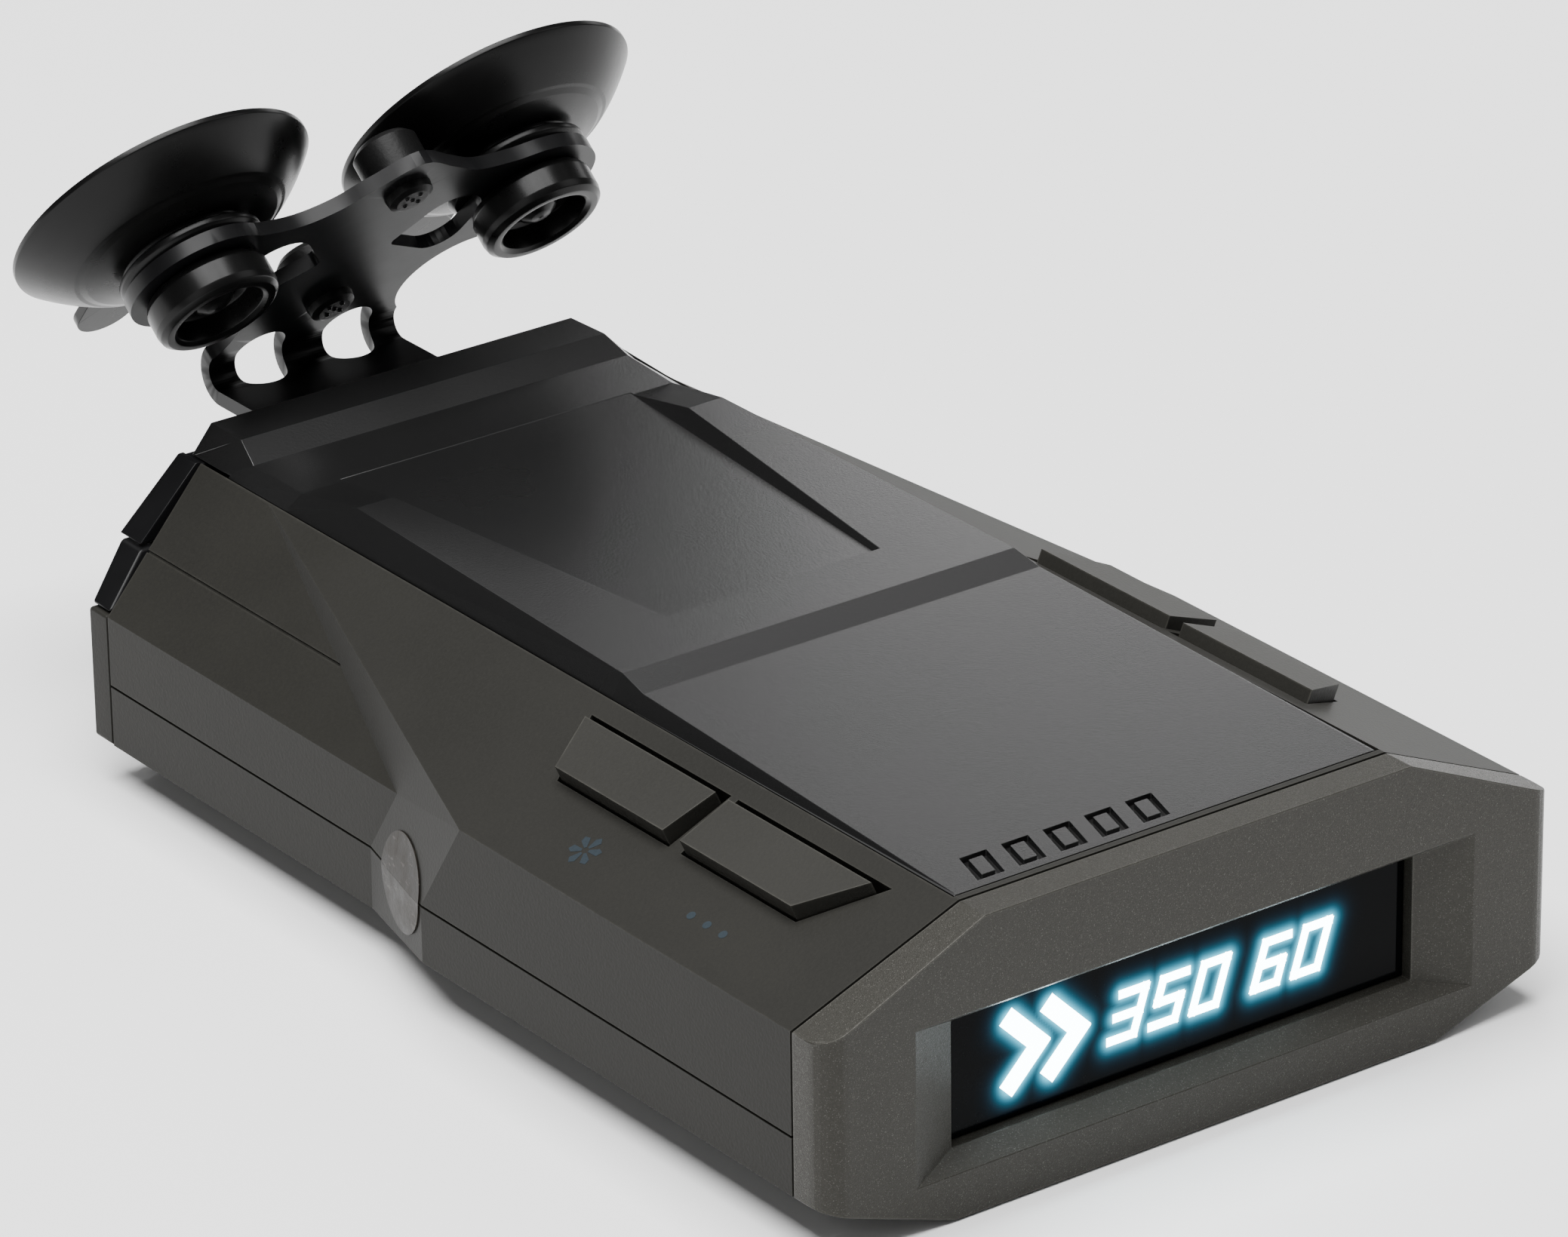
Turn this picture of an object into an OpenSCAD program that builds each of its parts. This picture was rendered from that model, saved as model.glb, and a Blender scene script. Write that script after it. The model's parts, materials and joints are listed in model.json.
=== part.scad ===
// Windscreen radar detector: a faceted two-shell case with a display bezel at the
// driver's end, four sprung keys on the upper chamfers, a horn antenna and a laser
// receiver at the rear, and a bent bracket that carries two suction cups.
// Millimetres. +Z is up, the display faces -Y, the road end faces +Y.
// The origin is the middle of the flat underside.

/* [Body] */
// Overall width across the front section
body_w = 77; // [76:0.5:80]
// Width across the narrower rear section
rear_w = 71; // [70:0.5:72]
// Length from the bezel face to the rear cover at the belt line
body_l = 114.2; // [113:0.2:117]
// Height of the case edge that the top cover sits between
case_h = 26.8; // [26:0.2:28]
// Height of the parting line between the two shells
split_z = 9.9; // [9:0.1:10.5]
// Wall thickness of both shells
wall = 1.8; // [1.6:0.1:2]

/* [Front] */
// Depth of the sloping recess around the display
recess_depth = 2; // [1.5:0.1:2.4]
// Width of the display opening
window_w = 48.8; // [46:0.2:50]
// Height of the display opening
window_h = 11.6; // [10.6:0.2:12]

/* [Keys] */
// How far a key's outer edge stands out of the chamfer at rest
key_proud = 1.5; // [1.2:0.1:1.8]
// Travel of a key when it is pressed
key_travel = 0.6; // [0.4:0.1:0.7]
// Gap between a key and the edge of its opening
key_gap = 0.3; // [0.25:0.05:0.4]

/* [Bracket] */
// Angle of the suction cup axes above the horizontal
cup_angle = 39.5; // [36:0.5:43]
// Distance between the two suction cups
cup_spacing = 35.6; // [35:0.2:38]
// Radius of a suction cup's rim
cup_r = 14.8; // [14.4:0.1:15.2]
// Thickness of the bent bracket plate
plate_t = 1.4; // [1.3:0.1:1.8]
// Half width of the bracket's tongue and fold
tongue_half = 10.3; // [10:0.1:11.2]

/* [Sockets] */
// Radius of the power plug's bore
jack_r = 1.8; // [1.7:0.05:1.9]
// Length of the power plug's bore
jack_depth = 9; // [8:0.5:10]

/* [Hidden] */

$fn = 48;
mid_y = 57;             // distance of the origin behind the bezel face
seam = 0.24;            // visible gap between neighbouring covers
fit = 0.15;             // clearance between pieces that slot together
far = 60;               // reach of a cutting shape past the case
eps = 0.05;             // overlap that makes a cut run clean through

// Case edges as [x, z]; the chamfer runs from the corner up to the rim
front_x = body_w / 2;
rear_x = rear_w / 2;
rim = [22.4, case_h];
front_corner = [front_x, 19.5];
rear_corner = [rear_x, 16.7];
front_half = [[25.5, 0], [front_x, 4.5], front_corner, rim];
rear_half = [[23.5, 0], [rear_x, 4.0], rear_corner, rim];

// Places along the case, measured from the bezel face
bezel_y_mid = 3.3;      // bezel seam on the flat top
bezel_y_side = 4.5;     // bezel seam at the sides
step_y = 57.6;          // where the wide section starts to narrow, below the split
step_len = 12.06;       // length of the narrowing
step_top_y = 51.3;      // the same start at the chamfer's corner
tip_y = 104.5;          // where the narrowing facet runs out on the rim
rear_y = body_l - 3;    // rear seam below the belt line
rear_lean = 4.1;        // how much further back the rear seam is at the rim
cover_front_y = 4.2;
style_line = [29.85, 21.0];
style_line_y = 82;
cover_rear_y = 117.3;

chamfer_angle = atan2(rim[1] - front_corner[1], front_x - rim[0]);

// Inside space of the case
deck_top = 25.2;        // ledge that the top cover lies on
deck_under = 24.0;
laser_at = [-24.5, 108.5, 18.1];
board_z = 10.4;         // underside of the main board
board_t = 1.6;
screws = [[-16.5, 14.5], [16.5, 14.5], [-22, 99], [22, 99]];

// Keys, as outlines in the chamfer's own plane: [distance down the slope, y]
left_keys = [
    [[3.1, 32.2], [8.8, 32.4], [8.8, 47.8], [3.1, 50.9]],
    [[3.1, 10.8], [8.8, 14.6], [8.8, 30.0], [3.1, 30.4]]
];
right_keys = [
    [[3.6, 36.6], [9.3, 36.8], [9.3, 51.6], [3.6, 54.6]],
    [[3.6, 17.4], [9.3, 20.2], [9.3, 34.4], [3.6, 34.8]]
];
inner_proud = 1.1;      // how far a key's inner edge stands out at rest
inner_gap = 0.95;       // wider gap along a key's inner edge
left_stems = [[6, 41], [6, 21.5]];
right_stems = [[6.5, 45], [6.5, 27]];
flange_z = -wall - 0.5; // top of the flange that keeps a key in
flange_t = 0.7;
stem_z = -3.3;          // lower end of a key's stem
switch_top = -4.1;
switch_foot = -5.6;
plunger_r = 1.0;
board_post_u = 11.6;
left_posts = [12.5, 50];
right_posts = [17, 54.5];
plunger_end = -4.8;

// Bracket
knob_end = [118, 39];   // [y, z] of a suction cup's hollow end
knob_h = 3.9;           // from the hollow end to the plate
lip_z = 24.6;           // height of the tongue's middle
fold_r = 2.3;           // middle radius of the fold
cup_l = 12.5;           // from the hollow end to the rim
neck_r = 3.3;
neck_play = 0.05;
plate_mid = [knob_end[0] + (knob_h + plate_t / 2) * cos(cup_angle),
             knob_end[1] + (knob_h + plate_t / 2) * sin(cup_angle)];
plate_run = (plate_mid[1] - lip_z) / cos(cup_angle);          // plate's mid line down to the tongue
fold_tangent = fold_r / tan((90 - cup_angle) / 2);
fold_start = plate_run - fold_tangent;
lip_start = plate_mid[0] + plate_run * sin(cup_angle) - fold_tangent;
tongue_end = 104;
guide_half = 13.4;
guide_end = 113.6;
clip_z = 25.8;          // underside of the spring plate over the tongue

// ---------------------------------------------------------------- helpers

function both_sides(half) =
    concat(half, [for (i = [len(half) - 1:-1:0]) [-half[i][0], half[i][1]]]);

function mirrored(points) =
    concat(points, [for (p = points) [-p[0], p[1], p[2]]]);

// Case coordinates: y from the bezel face, z from the underside
module case_frame() translate([0, -mid_y, 0]) children();

module along_y(from, to, outline)
    translate([0, to, 0]) rotate([90, 0, 0]) linear_extrude(to - from) polygon(outline);

module across_x(half_width, outline)
    translate([-half_width, 0, 0]) rotate([90, 0, 90]) linear_extrude(2 * half_width) polygon(outline);

// Convex solid through a set of corners
module block_through(points)
    hull() polyhedron(points, [[for (i = [0:len(points) - 1]) i]]);

module box(low, high) translate(low) cube(high - low);

// Plane of the upper chamfer: x runs down the slope, y to the rear, z outwards
module on_chamfer(side)
    mirror([side < 0 ? 1 : 0, 0, 0])
        translate([rim[0], 0, rim[1]]) rotate([0, chamfer_angle, 0]) children();

// Plane of the bracket plate: y runs up the plate, z towards the driver from its near face
module on_plate()
    translate([0, knob_end[0] + knob_h * cos(cup_angle), knob_end[1] + knob_h * sin(cup_angle)])
        rotate([90 + cup_angle, 0, 0]) children();

// ---------------------------------------------------------------- case form

module narrowing() {
    split_slope = (step_y - step_top_y) / (front_corner[1] - split_z);
    rear_split_y = step_y + step_len;
    rear_corner_y = rear_split_y - split_slope * (rear_corner[1] - split_z);
    block_through(mirrored([
        for (p = front_half) [p[0], 0, p[1]],
        [front_half[0][0], step_y, 0],
        [front_x, step_y, front_half[1][1]],
        [front_x, step_y, split_z],
        [front_x, step_top_y, front_corner[1]],
        [rear_half[0][0], rear_split_y, 0],
        [rear_x, rear_split_y, rear_half[1][1]],
        [rear_x, rear_split_y, split_z],
        [rear_x, rear_corner_y, rear_corner[1]],
        [rim[0], tip_y, rim[1]]
    ]));
}

module case_form() {
    narrowing();
    along_y(step_y, cover_rear_y + 2, both_sides(rear_half));
}

// Plan outline of everything behind the bezel seam
module bezel_seam_plan(gap)
    translate([0, 0, -1]) linear_extrude(far) polygon([
        [-far, bezel_y_side + gap], [-front_x, bezel_y_side + gap], [-rim[0], bezel_y_mid + gap],
        [rim[0], bezel_y_mid + gap], [front_x, bezel_y_side + gap], [far, bezel_y_side + gap],
        [far, 2 * far], [-far, 2 * far]
    ]);

// Side outline in front of the leaning rear seam, between two heights
module before_rear(low, high)
    across_x(far, [
        [-1, low], [rear_y, low], [rear_y, min(high, rear_corner[1])],
        if (high > rear_corner[1]) [rear_y + rear_lean, rim[1]],
        if (high > rear_corner[1]) [rear_y + rear_lean, high],
        [-1, high]
    ]);

module shell_form(low, high)
    intersection() {
        case_form();
        bezel_seam_plan(seam);
        before_rear(low, high);
    }

// Hollow inside both shells, open at the two ends
module case_cavity() {
    along_y(-1, step_y - 1, both_sides([
        [25.0, wall], [front_x - wall, 5.8], [front_x - wall, 18.4], [25.6, deck_under]
    ]));
    along_y(step_y - 2, far * 2, both_sides([
        [23.2, wall], [rear_x - wall, 5.2], [rear_x - wall, 15.8], [23.6, deck_under]
    ]));
}

module screw_places()
    for (at = screws) translate(at) children();

module jack_place() translate([rear_x, 84, 6.6]) rotate([0, 90, 0]) children();

module usb_cut(grow)
    box([28, 95.6 - grow, 7.2 - grow], [far, 103.4 + grow, 10.2 + grow]);

// ---------------------------------------------------------------- casing

module lower_shell() color("#3b3b3b") case_frame() {
    post_r = 3.1;
    difference() {
        union() {
            difference() {
                shell_form(-1, split_z - seam / 2);
                case_cavity();
            }
            // lip that keys the two shells together
            difference() {
                intersection() {
                    case_cavity();
                    box([-far, 10, split_z - 1.6], [far, rear_y - 3, split_z + 0.9]);
                }
                lip_hollow();
            }
            screw_places() cylinder(r = post_r, h = board_z);
        }
        screw_places() {
            translate([0, 0, -1]) cylinder(r = 1.35, h = board_z + 2);
            translate([0, 0, -1]) cylinder(r = 2.5, h = 3.4);
        }
        speaker_slots();
        jack_place() translate([0, 0, -5]) cylinder(r = 2.9, h = 10);
        usb_cut(fit);
    }
}

// Leaves a thin lip standing along the side walls
module lip_hollow() {
    lip_t = 0.8;
    box([-front_x + wall + lip_t, 0, 0], [front_x - wall - lip_t, step_y - 1, 20]);
    box([-rear_x + wall + lip_t, 0, 0], [rear_x - wall - lip_t, 2 * far, 20]);
}

module speaker_slots()
    for (i = [-4:4])
        translate([0, 34 + i * 2.4, -1])
            linear_extrude(4) square([2 * sqrt(11.5 * 11.5 - i * i * 5.76), 1.2], center = true);

module upper_shell() color("#3d3d3b") case_frame() {
    difference() {
        union() {
            difference() {
                shell_form(split_z + seam / 2, far);
                case_cavity();
                // recess for the top cover
                box([-rim[0], cover_front_y, deck_top], [rim[0], 2 * far, far]);
                // hole in the deck for the bracket guide
                box([-guide_half - 0.4, tongue_end - 2, 20], [guide_half + 0.4, 2 * far, far]);
            }
            screw_places() translate([0, 0, board_z + board_t + 0.02])
                cylinder(r = 2.6, h = deck_under - board_z - board_t + 0.3);
            for (side = [-1, 1]) on_chamfer(side) for (y = side < 0 ? left_posts : right_posts) {
                translate([board_post_u, y, switch_foot]) cylinder(r = 1.1, h = -switch_foot - wall + 0.4);
                translate([board_post_u, y, switch_foot - 1.3]) cylinder(r = 0.55, h = 1.4);
            }
        }
        screw_places() translate([0, 0, board_z]) cylinder(r = 1.02, h = 10);
        for (side = [-1, 1]) on_chamfer(side) for (key = side < 0 ? left_keys : right_keys)
            translate([0, 0, -6]) linear_extrude(12) key_opening(key);
        usb_cut(fit);
        // fine style line along the rear chamfers
        for (x = [-style_line[0], style_line[0]])
            translate([x, style_line_y, style_line[1]]) rotate([-90, 45, 0])
                translate([-0.13, -0.13, 0]) cube([0.26, 0.26, far]);
    }
}

// Point on the line through a and b at distance u down the slope
function along_edge(a, b, u) = [u, a[1] + (b[1] - a[1]) * (u - a[0]) / (b[0] - a[0])];

// Key outline grown by the running gap, and by more along the inner edge
module key_opening(key) {
    inner = key[0][0] - inner_gap;
    outer = key[1][0] + key_gap;
    apart = [0, 1.25 * key_gap];
    polygon([
        along_edge(key[0], key[1], inner) - apart, along_edge(key[0], key[1], outer) - apart,
        along_edge(key[3], key[2], outer) + apart, along_edge(key[3], key[2], inner) + apart
    ]);
}

module front_bezel() color("#58564f") case_frame() {
    corner_r = 2.4;
    plug_inset = wall + 0.15;
    window_z = 11.3;
    difference() {
        union() {
            intersection() {
                along_y(0, 6, both_sides(front_half));
                difference() {
                    linear_extrude(far) polygon(concat(
                        [for (a = [180:15:270]) [
                            -front_x + corner_r + corner_r * cos(a), corner_r + corner_r * sin(a)]],
                        [for (a = [270:15:360]) [
                            front_x - corner_r + corner_r * cos(a), corner_r + corner_r * sin(a)]],
                        [[front_x, 6], [-front_x, 6]]
                    ));
                    bezel_seam_plan(0);
                }
            }
            // plug that enters the two shells
            along_y(2.4, 8, both_sides([
                [24.6, plug_inset], [front_x - plug_inset, 6.1],
                [front_x - plug_inset, 18.2], [25.6, deck_under - 0.15]
            ]));
        }
        display_recess();
        // opening for the window, then a wider seat behind it
        box([-window_w / 2, 0, window_z - window_h / 2], [window_w / 2, 9, window_z + window_h / 2]);
        box([-27.2, 4.2, 3.8], [27.2, 9, 19.4]);
    }
}

// Sloping sides around the display, wider at the face
module display_recess() {
    outer_half = 29.5;
    outer_z = [4.2, 18.5];
    inner_z = [5.5, 17.1];
    out = recess_depth * 0.25;
    grow = 1 + out / recess_depth;
    block_through(mirrored([
        [window_w / 2, recess_depth, inner_z[0]],
        [window_w / 2, recess_depth, inner_z[1]],
        [window_w / 2 + (outer_half - window_w / 2) * grow, -out,
            inner_z[0] + (outer_z[0] - inner_z[0]) * grow],
        [window_w / 2 + (outer_half - window_w / 2) * grow, -out,
            inner_z[1] + (outer_z[1] - inner_z[1]) * grow]
    ]));
}

module display_window() color("#050608") case_frame() {
    box([-window_w / 2 + 0.1, 3.0, 5.6], [window_w / 2 - 0.1, 4.3, 17.0]);
    box([-26.8, 4.3, 4.1], [26.8, 5.0, 19.1]);
}

module display_module() color("#10202c") case_frame() {
    box([-25.5, 5.1, 4.6], [25.5, 6.9, 18.6]);
    box([-26.4, 6.9, 4.2], [26.4, 7.9, 19.0]);
}

module display_flex() color("#b5651d") case_frame() {
    box([-7, 7.92, 9], [7, 8.17, 12.3]);
    box([-7, 7.92, 12.05], [7, 15, 12.3]);
}

// Stations of the cover's top: [y, half width at the top, height]
cover_top = [
    [cover_front_y + seam, 21.9, 26.75],
    [48.6, 21.2, 28.1],
    [51.9, 21.0, 28.8],
    [93.6, 20.0, 29.3],
    [101.9, 20.3, 27.9],
    [109.3, 20.6, 28.1],
    [112.2, 20.0, 29.5],
    [cover_rear_y, 19.9, 29.4]
];
cover_side = 22.15;     // half width where the cover meets the case
cover_rim_z = case_h - 0.1;
mark_count = 5;
mark_pitch = 4.3;
mark_at = [-19, 5.4];
mark_floor = 26.3;

// Solid under the stations; drop lowers the top and inset narrows the sides
module cover_form(stations, floor_z, drop, inset) {
    n = len(stations);
    points = [
        for (s = stations) each [
            [-cover_side + inset, s[0], floor_z],
            [-cover_side + inset, s[0], cover_rim_z - drop],
            [-s[1] + inset, s[0], s[2] - drop],
            [s[1] - inset, s[0], s[2] - drop],
            [cover_side - inset, s[0], cover_rim_z - drop],
            [cover_side - inset, s[0], floor_z]
        ]
    ];
    polyhedron(points, concat(
        [[for (k = [0:5]) k]],
        [[for (k = [5:-1:0]) 6 * (n - 1) + k]],
        [for (i = [0:n - 2], k = [0:5])
            let (a = 6 * i + k, b = 6 * i + (k + 1) % 6) each [[a, a + 6, b], [b, a + 6, b + 6]]]
    ));
}

module top_cover() color("#454545") case_frame()
    difference() {
        cover_form(cover_top, deck_top, 0, 0);
        // hollow underneath
        cover_form([
            for (s = cover_top) [min(max(s[0], 6), cover_rear_y - 1.5), s[1], s[2]]
        ], deck_top - 1, 1.4, 1.5);
        cover_pocket();
        // row of sunken slanted outlines near the display
        for (i = [0:mark_count - 1]) translate([mark_at[0] + i * mark_pitch, mark_at[1], mark_floor])
            linear_extrude(3) difference() {
                polygon([[0, 0], [2.8, 0], [3.9, 3.9], [1.1, 3.9]]);
                polygon([[0.9, 0.6], [2.3, 0.6], [3.0, 3.3], [1.6, 3.3]]);
            }
        // raised underside at the rear, over the bracket's tongue
        box([-far, rear_y, 0], [far, 2 * far, 26.85]);
    }

// Sunken trapezoid that opens out towards the rear facet
module cover_pocket() {
    front = [58.6, 11.2];
    back = [102.4, 17.2];
    floor_z = [28.45, 27.86];
    side_run = 1.3;
    above = 3;
    block_through(mirrored([
        [front[1], front[0] + 0.5, floor_z[0]],
        [back[1] - side_run, back[0], floor_z[1]],
        [front[1] + side_run * 2, front[0] - 1, floor_z[0] + above],
        [back[1] + side_run, back[0], floor_z[1] + above]
    ]));
}

// Rear pieces follow the case section; each takes a band of heights
module rear_band(outline, side_profile)
    intersection() {
        along_y(rear_y - 1, far * 3, both_sides(outline));
        across_x(far, side_profile);
    }

module rear_cover() color("#3b3b3b") case_frame() {
    top_z = rear_corner[1];
    difference() {
        union() {
            rear_band(rear_half, [
                [rear_y + seam, -1], [body_l, -1], [body_l, top_z], [rear_y + seam, top_z]
            ]);
            // plug that enters the shells
            along_y(rear_y - 2.2, rear_y + seam + eps, both_sides([
                [23.0, wall + 0.1], [rear_x - wall - 0.1, 5.3], [rear_x - wall - 0.1, 12.4]
            ]));
        }
        // thin panel in front of the horn
        box([-19.5, rear_y - 3, 4.5], [19.5, body_l - 1.3, 14.5]);
        // shallow plain panel on the outside
        box([-26, body_l - 0.5, 4.6], [26, body_l + 1, 13.8]);
    }
}

module rear_lens() color("#0a0a0c") case_frame()
    rear_band(rear_half, [
        [rear_y + seam, rear_corner[1] + seam], [body_l + 0.1, rear_corner[1] + seam],
        [body_l + 2.9, 20.9], [rear_y + 2.6, 20.9]
    ]);

module rear_cap() color("#0c0c0e") case_frame() {
    proud = 0.5;
    cap_half = [[29.4 + proud, 21.2], [rim[0] + proud, rim[1] - 0.1 + proud * 0.4]];
    difference() {
        intersection() {
            along_y(rear_y, far * 3, both_sides([[0, 21.2], each cap_half, [0, rim[1] + 0.1]]));
            across_x(far, [
                [rear_y + 3.0, 21.2], [body_l + 3.4, 21.2],
                [body_l + 4.2, rim[1] + 1], [rear_y + 4.35, rim[1] + 1]
            ]);
        }
        // clearance for the top cover and the slot that the tongue enters
        box([-rim[0], 0, 26.7], [rim[0], 2 * far, far]);
        box([-tongue_half - 0.4, 0, lip_z - plate_t / 2 - 0.3],
            [tongue_half + 0.4, 2 * far, lip_z + plate_t / 2 + 0.3]);
        box([-guide_half - 0.3, 0, 20], [guide_half + 0.3, guide_end + 0.3, far]);
    }
}

// Round seal that bends over the two planes on either side of the split
module seal_sticker() color("#9a9184", 0.8) case_frame() {
    seal_r = 4.5;
    seal_t = 0.12;
    lift = 0.03;
    turn = atan2(front_x - rear_x, step_len);
    lean = atan2((front_x - rear_x) * (step_y - step_top_y), step_len * (front_corner[1] - split_z));
    translate([-front_x + (4.7 * tan(turn)), step_y + 4.7, split_z]) rotate([0, 0, -turn])
        for (half = [0, 1])
            rotate([0, half * lean, 0])
                intersection() {
                    translate([-lift, 0, 0]) rotate([0, -90, 0]) cylinder(r = seal_r, h = seal_t);
                    box([-1, -seal_r, half ? 0 : -seal_r], [1, seal_r, half ? seal_r : 0]);
                }
}

module case_screws() color("silver") case_frame()
    screw_places() difference() {
        union() {
            translate([0, 0, 0.7]) cylinder(r = 2.2, h = 1.68);
            translate([0, 0, 0.7]) cylinder(r = 1.0, h = 18.5);
        }
        translate([0, 0, 0.6]) for (a = [0, 90]) rotate(a) box([-1.4, -0.25, 0], [1.4, 0.25, 1.0]);
    }

// ---------------------------------------------------------------- keys

module key_body(side, key, stem) on_chamfer(side) {
    rise = 0.9;
    inner_u = key[0][0];
    slope = (key_proud - inner_proud) / (key[1][0] - inner_u);
    foot_z = flange_z - flange_t;
    // the top leans from the inner edge up to the outer edge
    intersection() {
        translate([0, 0, foot_z]) linear_extrude(key_proud - foot_z + 1) polygon(key);
        along_y(0, far, [
            [inner_u - 1, foot_z], [key[1][0] + 1, foot_z],
            [key[1][0] + 1, key_proud + slope], [inner_u - 1, inner_proud - slope]
        ]);
    }
    translate([0, 0, flange_z - flange_t]) linear_extrude(flange_t) polygon([
        [key[0][0] - 1.1, key[0][1] + rise], [key[1][0] + 0.8, key[1][1] + rise],
        [key[2][0] + 0.8, key[2][1] - rise], [key[3][0] - 1.1, key[3][1] - rise]
    ]);
    translate([stem[0], stem[1], stem_z]) cylinder(r = 1.6, h = flange_z - flange_t - stem_z + eps);
}

module plunger(side, stem) on_chamfer(side)
    translate([stem[0], stem[1], plunger_end]) cylinder(r = plunger_r, h = stem_z - plunger_end);

module left_rear_button() color("#3f3f3d") case_frame() key_body(-1, left_keys[0], left_stems[0]);
module left_front_button() color("#3f3f3d") case_frame() key_body(-1, left_keys[1], left_stems[1]);
module right_rear_button() color("#3f3f3d") case_frame() key_body(1, right_keys[0], right_stems[0]);
module right_front_button() color("#3f3f3d") case_frame() key_body(1, right_keys[1], right_stems[1]);

module left_rear_plunger() color("black") case_frame() plunger(-1, left_stems[0]);
module left_front_plunger() color("black") case_frame() plunger(-1, left_stems[1]);
module right_rear_plunger() color("black") case_frame() plunger(1, right_stems[0]);
module right_front_plunger() color("black") case_frame() plunger(1, right_stems[1]);

module switch_board(side, posts) on_chamfer(side)
    difference() {
        box([2.2, posts[0] - 2, switch_foot - 1.0], [13, posts[1] + 2, switch_foot - 0.02]);
        for (y = posts) translate([board_post_u, y, switch_foot - 2]) cylinder(r = 0.62, h = 4);
    }

module left_switch_board() color("darkgreen") case_frame() switch_board(-1, left_posts);
module right_switch_board() color("darkgreen") case_frame() switch_board(1, right_posts);

module tact_switches() color("dimgray") case_frame()
    for (side = [-1, 1]) on_chamfer(side) for (stem = side < 0 ? left_stems : right_stems)
        difference() {
            box([stem[0] - 2.3, stem[1] - 2.3, switch_foot], [stem[0] + 2.3, stem[1] + 2.3, switch_top]);
            translate([stem[0], stem[1], switch_foot - 1]) cylinder(r = plunger_r + 0.06, h = 4);
        }

// ---------------------------------------------------------------- inside

module main_board() color("#14532d") case_frame()
    difference() {
        box([-27, 9, board_z + 0.01], [27, 104, board_z + board_t]);
        screw_places() translate([0, 0, board_z - 1]) cylinder(r = 1.35, h = 4);
    }

module board_chips() color("#1a1a1a") case_frame() {
    top = board_z + board_t;
    box([8, 24, top], [18, 34, top + 1.2]);
    box([-20, 48, top], [-13, 58, top + 1.1]);
    box([14, 52, top], [21, 59, top + 1.1]);
    for (i = [0:3]) box([-24 + i * 3, 64, top], [-22.4 + i * 3, 65.2, top + 0.8]);
}

// Flared waveguide whose mouth faces the road
module horn_antenna() color("#b9bcc0") case_frame() {
    mouth = [17, 108.6];
    throat = [6, 84];
    base = board_z + board_t;
    mouth_z = [base, 21.8];
    throat_z = [base, 17.6];
    skin = 1.0;
    difference() {
        union() {
            block_through(mirrored([
                [mouth[0], mouth[1], mouth_z[0]], [mouth[0], mouth[1], mouth_z[1]],
                [throat[0], throat[1], throat_z[0]], [throat[0], throat[1], throat_z[1]]
            ]));
            box([-throat[0], 66, base], [throat[0], throat[1] + eps, throat_z[1]]);
            box([-mouth[0] - 0.9, mouth[1] - 1, base], [mouth[0] + 0.9, mouth[1], mouth_z[1] + 0.2]);
        }
        block_through(mirrored([
            [mouth[0] - skin, mouth[1] + 1, mouth_z[0] + skin], [mouth[0] - skin, mouth[1] + 1, mouth_z[1] - skin],
            [throat[0] - skin, throat[1], throat_z[0] + skin], [throat[0] - skin, throat[1], throat_z[1] - skin]
        ]));
        box([-throat[0] + skin, 70, base + skin], [throat[0] - skin, throat[1] + eps, throat_z[1] - skin]);
    }
}

module mixer_shield() color("#c9ccd0") case_frame() {
    base = board_z + board_t;
    difference() {
        box([-11, 49, base], [11, 65.8, base + 4.6]);
        box([-10.4, 49.6, base - 1], [10.4, 65.2, base + 4.0]);
    }
}

module laser_sensor() color("#202020") case_frame()
    difference() {
        box([laser_at[0] - 3, laser_at[1] - 6.2, board_z + board_t], [laser_at[0] + 3, laser_at[1], 20.6]);
        translate(laser_at - [0, 5, 0]) rotate([-90, 0, 0]) cylinder(r = 2.4, h = 8);
    }

module laser_lens() color("#3a0d18") case_frame()
    translate(laser_at - [0, 3.1, 0]) rotate([-90, 0, 0]) rotate_extrude()
        polygon(concat([[0, 0], [2.35, 0], [2.35, 1.6]],
            [for (a = [30:10:90]) [2.7 * cos(a), 0.25 + 2.7 * sin(a)]]));

module gps_antenna() color("#c8b48a") case_frame() {
    base = board_z + board_t;
    box([-15, 22, base], [5, 42, base + 1.0]);
    box([-14, 23, base + 1.0], [4, 41, base + 5.0]);
    translate([-5, 32, base + 5.0]) cylinder(r = 0.8, h = 0.5);
}

module speaker() color("#2a2a2a") case_frame()
    translate([0, 34, wall + 0.35]) rotate_extrude()
        polygon([[0, 1.0], [5, 1.6], [9.5, 2.4], [11.5, 0.6], [12.6, 0], [13.6, 0], [13.6, 2.6],
                 [8.5, 3.6], [8.5, 5.6], [0, 5.6]]);

module speaker_mesh() color("#111111") case_frame()
    translate([0, 34, wall + 0.05]) cylinder(r = 12.4, h = 0.28);

module backup_capacitor() color("#1d2b53") case_frame()
    translate([13, 60, 5.9]) rotate([-90, 0, 0]) cylinder(r = 4, h = 15);

module dc_jack() color("#151515") case_frame()
    difference() {
        union() {
            jack_place() translate([0, 0, -4.8]) cylinder(r = 2.75, h = 4.5);
            // the body's lower edge follows the sloping floor of the shell
            along_y(80.4, 87.6, [
                [22, 3.4], [27, 3.4], [rear_x - wall - 1, 5.3],
                [rear_x - wall - 1, board_z - 0.05], [22, board_z - 0.05]
            ]);
        }
        jack_place() translate([0, 0, -0.3 - jack_depth]) cylinder(r = jack_r, h = jack_depth + 1);
    }

module usb_port() color("#b0b4b8") case_frame()
    difference() {
        box([28.3, 95.8, 7.4], [rear_x - 0.2, 103.2, 10.0]);
        box([29.3, 96.2, 7.8], [rear_x + 1, 102.8, 9.6]);
    }

// ---------------------------------------------------------------- bracket

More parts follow.
